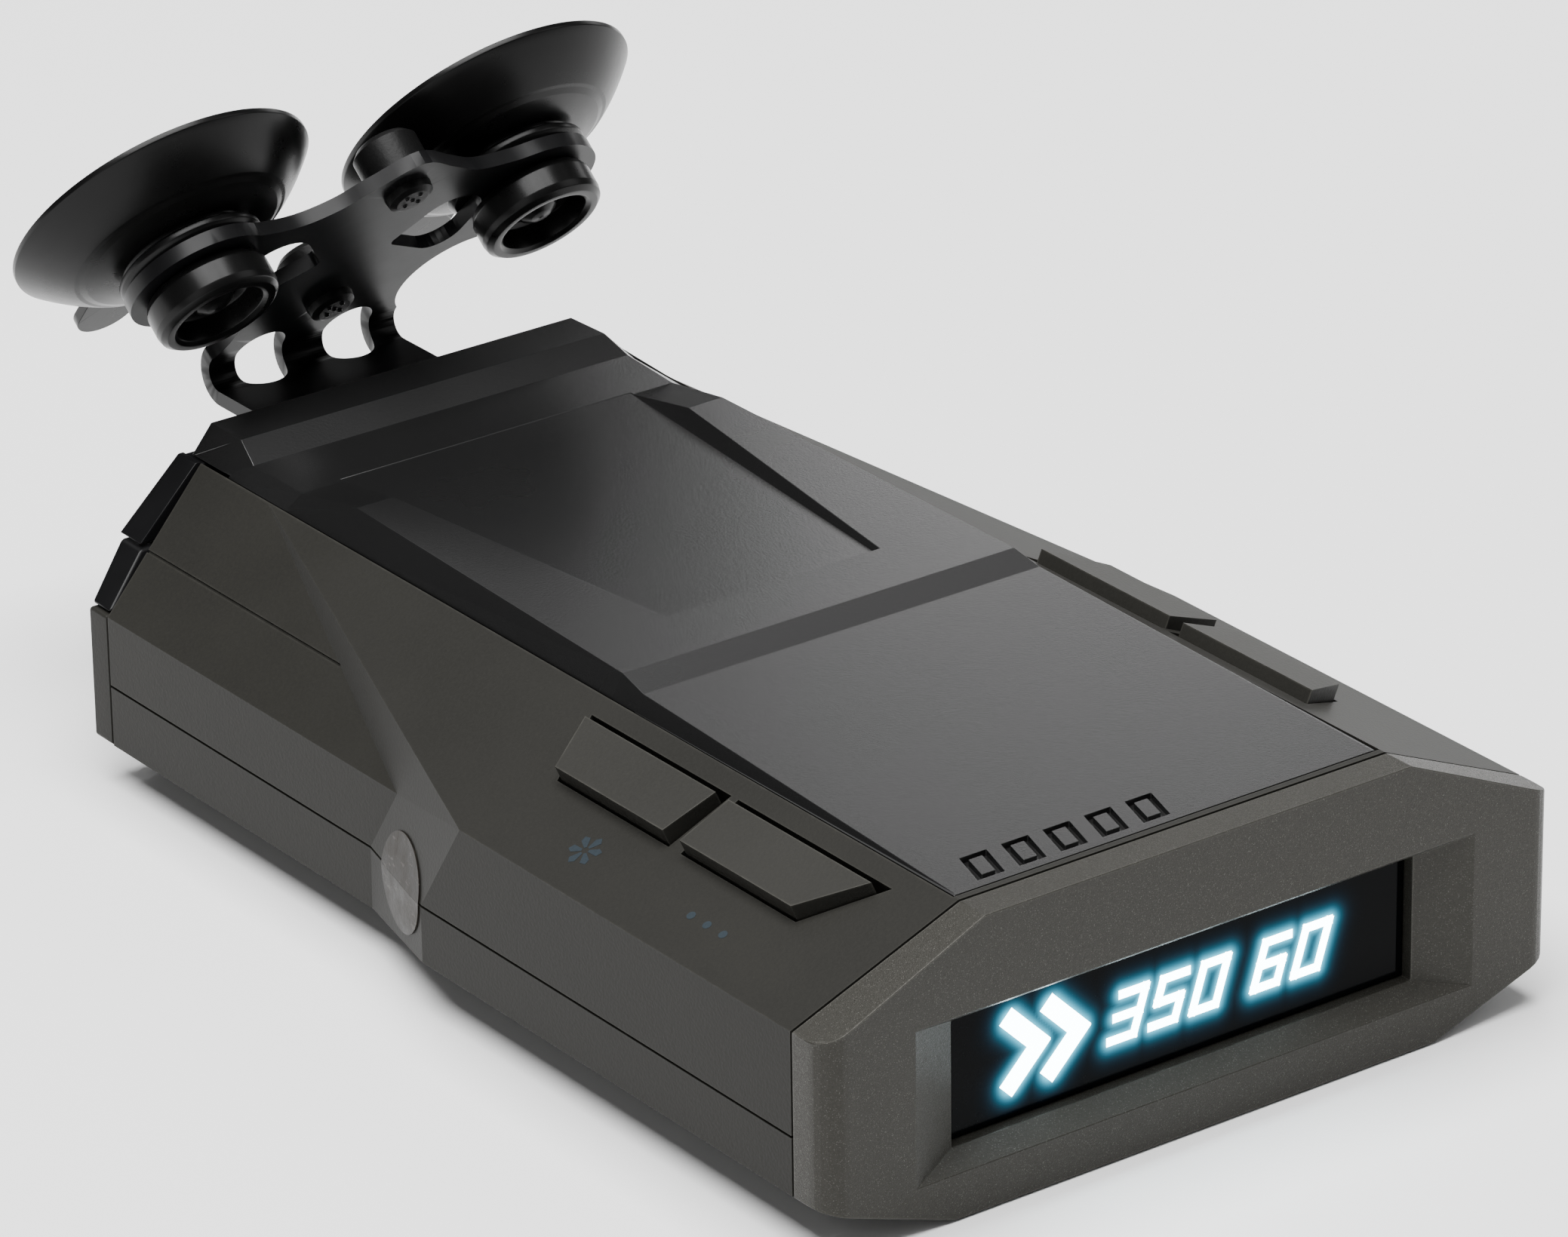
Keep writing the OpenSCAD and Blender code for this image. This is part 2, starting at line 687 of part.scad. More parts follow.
// Channel that the bracket's tongue slides into
module bracket_guide() color("#2b2b2b") case_frame() {
    low = lip_z - plate_t / 2 - 0.1;
    difference() {
        box([-guide_half, tongue_end - 1.6, low - 1.1], [guide_half, guide_end, clip_z]);
        box([-tongue_half - 0.1, tongue_end - 0.5, low], [tongue_half + 0.1, 2 * far, far]);
    }
}

// Steel leaf that presses down on the tongue
module bracket_clip() color("#c4c6c8") case_frame() {
    box([-guide_half, tongue_end - 1.4, clip_z + 0.01], [guide_half, guide_end - 3, clip_z + 0.26]);
    for (x = [-5, 5])
        box([x - 1.5, tongue_end + 1, lip_z + plate_t / 2 + 0.1], [x + 1.5, tongue_end + 5, clip_z + 0.05]);
}

// Smooth curve through the points between the first and the last
function curve_through(p, steps) = [
    for (i = [1:len(p) - 3], k = [0:steps - 1])
        let (t = k / steps)
            0.5 * (2 * p[i] + t * (p[i + 1] - p[i - 1])
                + t * t * (2 * p[i - 1] - 5 * p[i] + 4 * p[i + 1] - p[i + 2])
                + t * t * t * (3 * p[i] - p[i - 1] - 3 * p[i + 1] + p[i + 2]))
];

module plate_outline() {
    ear_r = 7.2;
    ear_x = cup_spacing / 2;
    top_edge = [
        [ear_x + 5, ear_r - 1.4], [ear_x, ear_r], [ear_x - 4, ear_r - 0.4], [9.6, 7.1], [6.2, 9.0],
        [1.9, 11.4], [-2.4, 8.9], [-5.6, 6.6], [-9.4, 5.5], [-ear_x + 4, ear_r - 1.2], [-ear_x, ear_r],
        [-ear_x - 5, ear_r - 1.4]
    ];
    difference() {
        union() {
            for (x = [-1, 1]) translate([x * ear_x, 0]) circle(r = ear_r);
            translate([-ear_x, -ear_r]) square([2 * ear_x, ear_r]);
            polygon(concat(curve_through(top_edge, 5), [[-ear_x, ear_r], [-ear_x, -1], [ear_x, -1]]));
            translate([-notch[0], notch[1]]) square([2 * notch[0], -notch[1]]);
            translate([-tongue_half, 1 - fold_start]) square([2 * tongue_half, fold_start]);
        }
        for (x = [-1, 1]) {
            translate([x * notch[0], notch[1]]) circle(r = notch_r);
            translate([x * cup_spacing / 2, 0]) circle(r = neck_r + neck_play);
            hull() {
                translate([x * 4.7, -3.0]) circle(r = 0.7, $fn = 32);
                translate([x * 9.4, -1.0]) circle(r = 3.5, $fn = 32);
                translate([x * 9.6, -3.6]) circle(r = 2.7, $fn = 32);
            }
        }
        translate(upper_pad) circle(r = pad_stem_r);
        translate(lower_pad) circle(r = pad_stem_r);
    }
}

notch_r = 6.5;
notch = [15.6, -13.5];
upper_pad = [1.9, 6.6];
lower_pad = [0.6, -11.8];
pad_stem_r = 1.7;
pad_r = 3.2;
pad_h = 3.9;

module bracket_plate() color("#111113") case_frame() {
    hole_half = 2.6;
    hole_x = 4.85;
    hole_top = -15.0;       // upper end of the openings that run over the fold
    hole_end = 129.9;       // their lower end, on the tongue
    difference() {
        union() {
            on_plate() translate([0, 0, -plate_t]) linear_extrude(plate_t) plate_outline();
            across_x(tongue_half, fold_outline());
        }
        on_plate() for (x = [-1, 1]) translate([x * notch[0], notch[1], -4]) cylinder(r = notch_r, h = 4.9);
        for (x = [-hole_x, hole_x]) {
            on_plate() {
                box([x - hole_half, -30, -4], [x + hole_half, hole_top - hole_half, 0.9]);
                translate([x, hole_top - hole_half, -4]) cylinder(r = hole_half, h = 4.9);
            }
            box([x - hole_half, hole_end + hole_half, 20], [x + hole_half, 140, lip_z + fold_r]);
            translate([x, hole_end + hole_half, 20]) cylinder(r = hole_half, h = lip_z + fold_r - 20);
        }
    }
}

// Side outline of the tongue, the fold and the foot of the plate, as [y, z]
function fold_outline() =
    let (
        steps = 14,
        centre = [lip_start, lip_z + fold_r],
        up = [-sin(cup_angle), cos(cup_angle)],
        sweep = 90 + cup_angle,
        outer = fold_r + plate_t / 2,
        inner = fold_r - plate_t / 2,
        at = function (r, i) centre + r * [cos(-90 + sweep * i / steps), sin(-90 + sweep * i / steps)]
    )
    concat(
        [[tongue_end, lip_z - plate_t / 2]],
        [for (i = [0:steps]) at(outer, i)],
        [at(outer, steps) + 3 * up, at(inner, steps) + 3 * up],
        [for (i = [steps:-1:0]) at(inner, i)],
        [[tongue_end, lip_z + plate_t / 2]]
    );

module bumper(place) on_plate() translate([place[0], place[1], 0]) {
    translate([0, 0, -plate_t - pad_h]) rotate_extrude()
        polygon([[0, 0], [pad_r - 0.6, 0], [pad_r, 0.6], [pad_r, pad_h], [pad_stem_r - 0.02, pad_h],
                 [pad_stem_r - 0.02, pad_h + plate_t], [2.3, pad_h + plate_t], [2.2, pad_h + plate_t + 0.7],
                 [1.6, pad_h + plate_t + 1.0], [0, pad_h + plate_t + 1.0]]);
}

module upper_bumper() color("#0e0e0e") case_frame() bumper(upper_pad);
module lower_bumper() color("#0e0e0e") case_frame() bumper(lower_pad);

// Suction cup section as [radius, distance from the hollow end]
function cup_section() = concat(
    [[0, 0.8], [1.0, 0.95], [1.8, 1.4], [2.3, 2.1], [2.5, 2.6], [3.6, 2.6], [4.0, 2.2], [4.3, 0.3], [4.7, 0], [5.4, 0], [5.9, 0.4], [6.05, 1.0],
     [6.05, 2.9], [5.7, 3.6], [5.2, knob_h - 0.06], [neck_r, knob_h - 0.06],
     [neck_r, knob_h + plate_t + 0.06], [6.6, knob_h + plate_t + 0.06],
     [7.1, 6.0], [7.1, 6.5], [6.6, 6.8], [6.1, 7.0], [6.3, 7.3], [7.6, 7.5], [9.6, 8.0], [10.2, 8.3]],
    [for (i = [0:8]) let (s = i / 8) [10.6 + (cup_r - 10.6) * s, 8.4 + 3.6 * (0.75 * s + 0.25 * s * s)]],
    [[cup_r, cup_l], [cup_r - 0.7, cup_l], [cup_r - 2, 11.3], [10, 9.9], [5, 9.4], [0, 9.3]]
);

module suction_cup(side) on_plate() translate([side * cup_spacing / 2, 0, knob_h]) {
    tab_half = 3;
    tab_reach = 17.3;
    mirror([0, 0, 1]) {
        rotate_extrude($fn = 96) polygon(cup_section());
        translate([0, 0, cup_l - 1.2]) difference() {
            union() {
                box([-tab_half, -tab_reach, 0], [tab_half, 0, 1.0]);
                translate([0, -tab_reach, 0]) cylinder(r = tab_half, h = 1.0);
            }
            translate([0, 0, -1]) cylinder(r = cup_r - 0.4, h = 4);
        }
    }
}

module left_suction_cup() color("#101010") case_frame() suction_cup(-1);
module right_suction_cup() color("#101010") case_frame() suction_cup(1);

lower_shell();
upper_shell();
front_bezel();
display_window();
display_module();
display_flex();
top_cover();
rear_cover();
rear_lens();
rear_cap();
seal_sticker();
case_screws();
left_rear_button();
left_front_button();
right_rear_button();
right_front_button();
left_rear_plunger();
left_front_plunger();
right_rear_plunger();
right_front_plunger();
left_switch_board();
right_switch_board();
tact_switches();
main_board();
board_chips();
horn_antenna();
mixer_shield();
laser_sensor();
laser_lens();
gps_antenna();
speaker();
speaker_mesh();
backup_capacitor();
dc_jack();
usb_port();
bracket_guide();
bracket_clip();
bracket_plate();
upper_bumper();
lower_bumper();
left_suction_cup();
right_suction_cup();
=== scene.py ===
"""Looks for the windscreen radar detector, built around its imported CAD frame."""

import json
import math

import bmesh
import bpy
from mathutils import Matrix, Vector


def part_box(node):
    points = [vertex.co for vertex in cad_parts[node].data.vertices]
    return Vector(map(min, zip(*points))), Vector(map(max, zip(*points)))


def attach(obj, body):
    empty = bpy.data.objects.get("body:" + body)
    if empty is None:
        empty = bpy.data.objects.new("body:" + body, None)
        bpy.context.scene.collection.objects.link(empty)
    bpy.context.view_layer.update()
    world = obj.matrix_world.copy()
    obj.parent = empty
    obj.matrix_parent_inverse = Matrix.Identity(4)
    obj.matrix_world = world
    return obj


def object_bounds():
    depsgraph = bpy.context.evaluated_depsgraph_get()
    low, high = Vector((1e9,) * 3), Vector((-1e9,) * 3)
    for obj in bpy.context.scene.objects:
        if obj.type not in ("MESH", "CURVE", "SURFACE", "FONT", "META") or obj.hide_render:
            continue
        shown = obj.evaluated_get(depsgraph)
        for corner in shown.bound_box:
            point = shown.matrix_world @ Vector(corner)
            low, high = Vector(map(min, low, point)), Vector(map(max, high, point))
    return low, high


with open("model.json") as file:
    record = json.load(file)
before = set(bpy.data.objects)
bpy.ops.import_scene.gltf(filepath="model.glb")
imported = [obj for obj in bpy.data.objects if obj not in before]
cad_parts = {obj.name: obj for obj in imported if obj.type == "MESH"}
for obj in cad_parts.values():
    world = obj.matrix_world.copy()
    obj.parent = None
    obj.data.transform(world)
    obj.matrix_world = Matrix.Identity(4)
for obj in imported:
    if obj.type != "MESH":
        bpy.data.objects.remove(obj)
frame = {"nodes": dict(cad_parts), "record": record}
cad_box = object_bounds()
NODES = frame["nodes"]
MM = 0.001
SHARP_RADIUS = 0.00035      # metres around an edge that get the lighter edge tone, partly wear and partly painted highlight
SHARP_SPAN = (0.02, 0.25)   # how far the rounded normal turns from no edge tone to the full lighter edge tone


# ------------------------------------------------------------------ node tree helpers

class Tree:
    """Short calls for building one material's node tree."""

    def __init__(self, name, colour, rough, metallic=0.0, specular=0.5):
        self.mat = bpy.data.materials.new(name)
        self.mat.use_nodes = True
        self.mat.diffuse_color = (*colour, 1.0)
        self.nodes = self.mat.node_tree.nodes
        self.links = self.mat.node_tree.links
        self.shader = self.nodes["Principled BSDF"]
        self.set("Base Color", (*colour, 1.0))
        self.set("Roughness", rough)
        self.set("Metallic", metallic)
        self.set("Specular IOR Level", specular)
        self.where = self.add("ShaderNodeTexCoord").outputs["Object"]
        self.height = None

    def add(self, kind, **values):
        node = self.nodes.new(kind)
        for key, value in values.items():
            setattr(node, key, value)
        return node

    def set(self, socket, value):
        self.shader.inputs[socket].default_value = value

    def link(self, a, b):
        self.links.new(a, b)

    def noise(self, scale, detail=3.0, rough=0.55, stretch=None):
        node = self.add("ShaderNodeTexNoise")
        node.inputs["Scale"].default_value = scale
        node.inputs["Detail"].default_value = detail
        node.inputs["Roughness"].default_value = rough
        source = self.where
        if stretch:
            mapping = self.add("ShaderNodeMapping")
            mapping.inputs["Scale"].default_value = stretch
            self.link(source, mapping.inputs["Vector"])
            source = mapping.outputs["Vector"]
        self.link(source, node.inputs["Vector"])
        return node.outputs["Fac"]

    def cells(self, scale, feature="F1"):
        node = self.add("ShaderNodeTexVoronoi", feature=feature)
        node.inputs["Scale"].default_value = scale
        self.link(self.where, node.inputs["Vector"])
        return node

    def span(self, value, low, high, to_low=0.0, to_high=1.0):
        node = self.add("ShaderNodeMapRange", clamp=True)
        limits = {"From Min": low, "From Max": high, "To Min": to_low, "To Max": to_high}
        for key, number in limits.items():
            node.inputs[key].default_value = number
        self.link(value, node.inputs["Value"])
        return node.outputs["Result"]

    def math(self, kind, a, b):
        node = self.add("ShaderNodeMath", operation=kind)
        for socket, value in zip(node.inputs, (a, b)):
            if isinstance(value, (int, float)):
                socket.default_value = value
            else:
                self.link(value, socket)
        return node.outputs[0]

    def blend(self, factor, a, b):
        node = self.add("ShaderNodeMix", data_type="RGBA")
        if isinstance(factor, (int, float)):
            node.inputs[0].default_value = factor
        else:
            self.link(factor, node.inputs[0])
        for socket, value in ((node.inputs[6], a), (node.inputs[7], b)):
            if isinstance(value, tuple):
                socket.default_value = (*value, 1.0)
            else:
                self.link(value, socket)
        return node.outputs[2]

    def edges(self, radius=SHARP_RADIUS):
        """0 on flats, 1 on sharp edges."""
        low, high = SHARP_SPAN
        bevel = self.add("ShaderNodeBevel", samples=6)
        bevel.inputs["Radius"].default_value = radius
        geometry = self.add("ShaderNodeNewGeometry")
        dot = self.add("ShaderNodeVectorMath", operation="DOT_PRODUCT")
        self.link(bevel.outputs["Normal"], dot.inputs[0])
        self.link(geometry.outputs["Normal"], dot.inputs[1])
        return self.span(dot.outputs["Value"], 1.0 - low, 1.0 - high)

    def bump(self, height, depth, strength=1.0):
        node = self.add("ShaderNodeBump")
        node.inputs["Distance"].default_value = depth
        node.inputs["Strength"].default_value = strength
        self.link(height, node.inputs["Height"])
        if self.height:
            self.link(self.height, node.inputs["Normal"])
        self.height = node.outputs["Normal"]
        self.link(self.height, self.shader.inputs["Normal"])

    def colour(self, output):
        self.link(output, self.shader.inputs["Base Color"])

    def roughness(self, output):
        self.link(output, self.shader.inputs["Roughness"])


def shade(colour, factor):
    return tuple(c * factor for c in colour)


def moulded(name, colour, rough, grain=3200, depth=0.00002, edge_wear_and_highlight=0.25, patch=0.1, specular=0.5):
    """Moulded or painted plastic: fine grain, slow patches of tone, lighter edges that are partly
    wear and partly painted highlight.
    """
    t = Tree(name, colour, rough, specular=specular)
    slow = t.noise(45, 3)
    fine = t.noise(grain, 2, 0.5)
    tone = t.blend(t.span(slow, 0.3, 0.7), shade(colour, 1 - patch), shade(colour, 1 + patch))
    tone = t.blend(t.span(fine, 0.35, 0.75, 0.0, 0.35), tone, shade(colour, 1.35))
    if edge_wear_and_highlight:
        # Lighter edges: partly patchy rubbed wear, partly a painted highlight along the edges.
        edge = t.math("MULTIPLY", t.edges(), t.span(t.noise(600, 2), 0.35, 0.65, 0.35, 1.0))
        tone = t.blend(t.math("MULTIPLY", edge, edge_wear_and_highlight), tone, shade(colour, 3.0))
    t.colour(tone)
    t.roughness(t.span(slow, 0.3, 0.7, rough * 0.98, min(1.0, rough * 1.02)))
    t.bump(fine, depth)
    return t.mat


def sparkle_paint(name, colour, rough):
    """Metallic paint: a dark binder with tiny flakes, some of which catch the light."""
    t = Tree(name, colour, rough, metallic=0.3, specular=0.2)
    flakes = t.cells(14000)
    split = t.add("ShaderNodeSeparateColor")
    t.link(flakes.outputs["Color"], split.inputs["Color"])
    bright = t.span(split.outputs[0], 0.93, 1.0)
    grey = t.span(split.outputs[1], 0.0, 1.0, 0.0, 0.55)
    tone = t.blend(grey, shade(colour, 0.82), shade(colour, 1.4))
    tone = t.blend(t.math("MULTIPLY", bright, 0.3), tone, (0.17, 0.165, 0.15))
    # Lighter edges all round: a painted highlight along the rims.
    edge = t.edges(0.0004)
    tone = t.blend(t.math("MULTIPLY", edge, 0.3), tone, (0.16, 0.155, 0.14))
    t.colour(tone)
    t.roughness(t.span(split.outputs[2], 0.0, 1.0, rough - 0.12, rough + 0.14))
    t.bump(flakes.outputs["Distance"], 0.00003, 0.5)
    t.bump(t.noise(2400, 2), 0.000015)
    return t.mat


def gloss(name, colour, rough, ripple=0.000015, smear=0.12, specular=0.5):
    """Polished or vinyl black: faint ripple, uneven gloss and light handling marks."""
    t = Tree(name, colour, rough, specular=specular)
    slow = t.noise(90, 4, 0.6)
    t.colour(t.blend(t.span(slow, 0.3, 0.7), shade(colour, 0.8), shade(colour, 1.3)))
    t.roughness(t.span(t.noise(260, 4, 0.7), 0.35, 0.7, rough, rough + smear))
    t.bump(t.noise(350, 2), ripple)
    t.bump(t.noise(5000, 1), ripple * 0.15)
    return t.mat


def brushed(name, colour, rough):
    """Metal with fine lines along one way."""
    t = Tree(name, colour, rough, metallic=1.0)
    lines = t.noise(900, 2, 0.6, stretch=(0.06, 1.0, 1.0))
    t.colour(t.blend(t.span(lines, 0.3, 0.7), shade(colour, 0.78), shade(colour, 1.08)))
    t.roughness(t.span(lines, 0.3, 0.7, rough, rough + 0.15))
    t.bump(lines, 0.00001)
    return t.mat


def circuit(name):
    """Solder mask with a hint of copper tracks under it."""
    colour = (0.006, 0.075, 0.028)
    t = Tree(name, colour, 0.35)
    tracks = t.cells(420, "DISTANCE_TO_EDGE")
    t.colour(t.blend(t.span(tracks.outputs["Distance"], 0.02, 0.05), (0.03, 0.19, 0.07), colour))
    t.bump(tracks.outputs["Distance"], 0.00002, 0.3)
    return t.mat


def seal_film(name):
    """Foil seal: a brownish haze with pale scuffs."""
    colour = (0.0085, 0.0068, 0.0052)
    t = Tree(name, colour, 0.34, metallic=0.15, specular=0.08)
    wave = t.noise(380, 5, 0.7)
    scuff = t.noise(1500, 3, 0.7, stretch=(1.0, 0.25, 1.0))
    tone = t.blend(t.span(wave, 0.4, 0.62), colour, (0.022, 0.019, 0.0155))
    t.colour(t.blend(t.span(scuff, 0.58, 0.66, 0.0, 0.7), tone, (0.060, 0.056, 0.050)))
    t.roughness(t.span(wave, 0.3, 0.7, 0.22, 0.48))
    t.bump(wave, 0.00004)
    return t.mat


def lamp(name, colour, strength):
    """Lit surface, very slightly uneven."""
    t = Tree(name, colour, 0.4)
    slow = t.noise(700, 2)
    t.colour(t.blend(slow, shade(colour, 0.96), colour))
    t.set("Emission Color", (*colour, 1.0))
    t.set("Emission Strength", strength)
    return t.mat


# ------------------------------------------------------------------ surfaces of the CAD nodes

SHELL = (0.0145, 0.0141, 0.0124)
COVER = (0.0050, 0.0050, 0.0050)

MATERIALS = {
    "shell": moulded("soft_touch_shell", SHELL, 0.46, edge_wear_and_highlight=0.5, specular=0.08),
    "keys": moulded("soft_touch_keys", shade(SHELL, 1.2), 0.44, edge_wear_and_highlight=1.0, specular=0.12),
    "cover": moulded("satin_cover", COVER, 0.27, grain=4200, depth=0.000008, edge_wear_and_highlight=0.6, patch=0.05),
    "bezel": sparkle_paint("sparkle_bezel", (0.0260, 0.0249, 0.0210), 0.42),
    "glass": gloss("smoked_window", (0.0012, 0.0013, 0.0015), 0.05, 0.000004, 0.04, specular=0.03),
    "gloss": gloss("polished_black", (0.0035, 0.0035, 0.0038), 0.32, 0.000006, 0.04, specular=0.16),
    "cup": gloss("vinyl_black", (0.0026, 0.0026, 0.0026), 0.27, 0.000008, 0.04, specular=0.15),
    "rubber": moulded("bumper_rubber", (0.0035, 0.0035, 0.0035), 0.42, edge_wear_and_highlight=0.0, specular=0.12),
    "seal": seal_film("seal_film"),
    "steel": brushed("plated_steel", (0.62, 0.62, 0.63), 0.28),
    "black_plastic": moulded("black_moulding", (0.016, 0.016, 0.017), 0.45, edge_wear_and_highlight=0.15),
    "board": circuit("solder_mask"),
    "display": gloss("panel_glass", (0.01, 0.02, 0.03), 0.12),
    "flex": gloss("polyimide_film", (0.45, 0.17, 0.02), 0.25),
    "antenna": brushed("cast_horn", (0.50, 0.51, 0.53), 0.42),
    "lens": gloss("filter_lens", (0.045, 0.002, 0.008), 0.05, 0.000002, 0.02),
    "ceramic": moulded("fired_ceramic", (0.52, 0.42, 0.24), 0.7, edge_wear_and_highlight=0.1),
    "mesh": moulded("speaker_cloth", (0.006, 0.006, 0.006), 0.9, grain=6000, depth=0.00008, edge_wear_and_highlight=0.0),
    "capacitor": gloss("sleeved_can", (0.012, 0.022, 0.075), 0.3),
}

SLOT_OF = {part["node"]: part["material_slot"] for part in frame["record"]["subparts"]}

# Nodes seen from outside get rounded edges; widths in millimetres
BEVELS = {
    "upper_shell": 0.22, "lower_shell": 0.22, "front_bezel": 0.35, "top_cover": 0.28,
    "rear_cover": 0.25, "rear_lens": 0.3, "rear_cap": 0.35, "bracket_plate": 0.3,
    "left_rear_button": 0.28, "left_front_button": 0.28, "right_rear_button": 0.28,
    "right_front_button": 0.28, "upper_bumper": 0.2, "lower_bumper": 0.2,
    "left_suction_cup": 0.18, "right_suction_cup": 0.18, "display_window": 0.05,
}

# Nodes whose facets meet at very flat angles, and the least angle in degrees that gets rounded
FACETED = ("upper_shell", "lower_shell", "top_cover", "rear_cover", "rear_lens", "rear_cap")
FLAT_EDGE, PLAIN_EDGE = 2, 9


def soften(obj, width, angle):
    """Joins doubled corners, rounds the edges and keeps the flats flat to the light."""
    weld = obj.modifiers.new("weld", "WELD")
    weld.merge_threshold = 2e-6
    bevel = obj.modifiers.new("bevel", "BEVEL")
    bevel.width = width * MM
    bevel.segments = 3
    bevel.limit_method = "ANGLE"
    bevel.angle_limit = math.radians(angle)
    bevel.use_clamp_overlap = True
    bevel.harden_normals = False
    normals = obj.modifiers.new("normals", "WEIGHTED_NORMAL")
    normals.weight = 100
    normals.keep_sharp = False


for name, obj in NODES.items():
    obj.data.materials.clear()
    obj.data.materials.append(MATERIALS[SLOT_OF[name]])
    if name in BEVELS:
        for polygon in obj.data.polygons:
            polygon.use_smooth = True
        soften(obj, BEVELS[name], FLAT_EDGE if name in FACETED else PLAIN_EDGE)


# ------------------------------------------------------------------ pieces made here

def new_mesh(name, verts, faces, material, body):
    """A mesh in the scene with one material, riding on a body."""
    mesh = bpy.data.meshes.new(name)
    mesh.from_pydata([tuple(v) for v in verts], [], faces)
    mesh.update()
    obj = bpy.data.objects.new(name, mesh)
    bpy.context.scene.collection.objects.link(obj)
    mesh.materials.append(material)
    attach(obj, body)
    return obj


# ---- display; all its sizes are in millimetres

WINDOW_LOW, WINDOW_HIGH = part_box("display_window")
WINDOW_MID = (WINDOW_LOW.z + WINDOW_HIGH.z) / 2 / MM
GLASS_Y = WINDOW_LOW.y - 0.03 * MM  # plane of the lit bars, just in front of the window

# Segments that are lit on a seven-segment figure, in the order
# top, upper right, lower right, bottom, lower left, upper left, middle
FIGURES = {"0": "1111110", "3": "1111001", "5": "1011011", "6": "1011111"}
READING = ("3", "5", "0", None, "6", "0")  # None leaves a space
READING_X = -7.2            # left side of the first figure
FIGURE_W, FIGURE_H = 2.5, 4.0
FIGURE_PITCH = 4.35
SPACE_W = 2.2
FIGURE_BASE = WINDOW_MID - 2.3
FIGURE_SLANT = 0.32         # sideways shift for each millimetre of height
FIGURE_HALF = 0.42          # half the width of a lit bar
LAYER_STEP = 0.0004         # each bar lies this much in front of the one before

CHEVRON_TIPS = (-14.6, -10.4)
CHEVRON_REACH = 2.9
CHEVRON_HALF = 0.9

LIT_COLOUR, LIT_STRENGTH = (0.80, 0.96, 1.0), 15.0

GLOW_STEP = 0.25            # size of one cell of the glow sheet
GLOW_HALF_W = 23.6
GLOW_INSET = 1.75           # from the window's upper and lower edges
GLOW_BEHIND = 0.012         # depth of the sheet behind the lit bars
GLOW_FADE = 0.75            # distance over which the halo falls to about a third
GLOW_RIM = 0.6              # the halo dies out over this distance at the sheet's border
GLOW_POWER, GLOW_STRENGTH = 1.5, 2.4


def figure_strokes(figure, x, z, wide, high):
    corners = {
        "ul": (x, z + high), "ur": (x + wide, z + high), "ml": (x, z + high / 2),
        "mr": (x + wide, z + high / 2), "ll": (x, z), "lr": (x + wide, z)}
    ends = [("ul", "ur"), ("ur", "mr"), ("mr", "lr"), ("lr", "ll"),
            ("ll", "ml"), ("ml", "ul"), ("ml", "mr")]
    return [(corners[a], corners[b]) for (a, b), lit in zip(ends, FIGURES[figure]) if lit == "1"]


def slant(point):
    return (point[0] + (point[1] - FIGURE_BASE) * FIGURE_SLANT, point[1])


def stroke_outline(a, b, half):
    """Four corners of a bar whose ends run past its centre line's ends."""
    dx, dz = b[0] - a[0], b[1] - a[1]
    length = math.hypot(dx, dz)
    ux, uz = dx / length, dz / length
    a = (a[0] - ux * half * 0.9, a[1] - uz * half * 0.9)
    b = (b[0] + ux * half * 0.9, b[1] + uz * half * 0.9)
    return [(a[0] - uz * half, a[1] + ux * half), (a[0] + uz * half, a[1] - ux * half),
            (b[0] + uz * half, b[1] - ux * half), (b[0] - uz * half, b[1] + ux * half)]


def lit_bars():
    """Centre line and half width of every bar: the reading, then the chevrons."""
    bars = []
    x = READING_X
    for figure in READING:
        if figure is None:
            x += SPACE_W
            continue
        for a, b in figure_strokes(figure, x, FIGURE_BASE, FIGURE_W, FIGURE_H):
            bars.append((slant(a), slant(b), FIGURE_HALF))
        x += FIGURE_PITCH
    for tip_x in CHEVRON_TIPS:
        for end in (1, -1):
            bars.append(((tip_x - CHEVRON_REACH, WINDOW_MID + CHEVRON_REACH * end),
                         (tip_x, WINDOW_MID), CHEVRON_HALF))
    return bars


def display_figures(bars):
    verts, faces = [], []
    for layer, (a, b, half) in enumerate(bars):
        start = len(verts)
        y = GLASS_Y - layer * LAYER_STEP * MM
        verts += [(px * MM, y, pz * MM) for px, pz in stroke_outline(a, b, half)]
        faces.append((start, start + 1, start + 2, start + 3))
    new_mesh("display_figures", verts, faces, lamp("lit_figures", LIT_COLOUR, LIT_STRENGTH),
             "housing")


def distance_to(point, a, b):
    dx, dz = b[0] - a[0], b[1] - a[1]
    t = ((point[0] - a[0]) * dx + (point[1] - a[1]) * dz) / (dx * dx + dz * dz)
    t = min(1.0, max(0.0, t))
    return math.hypot(point[0] - a[0] - t * dx, point[1] - a[1] - t * dz)


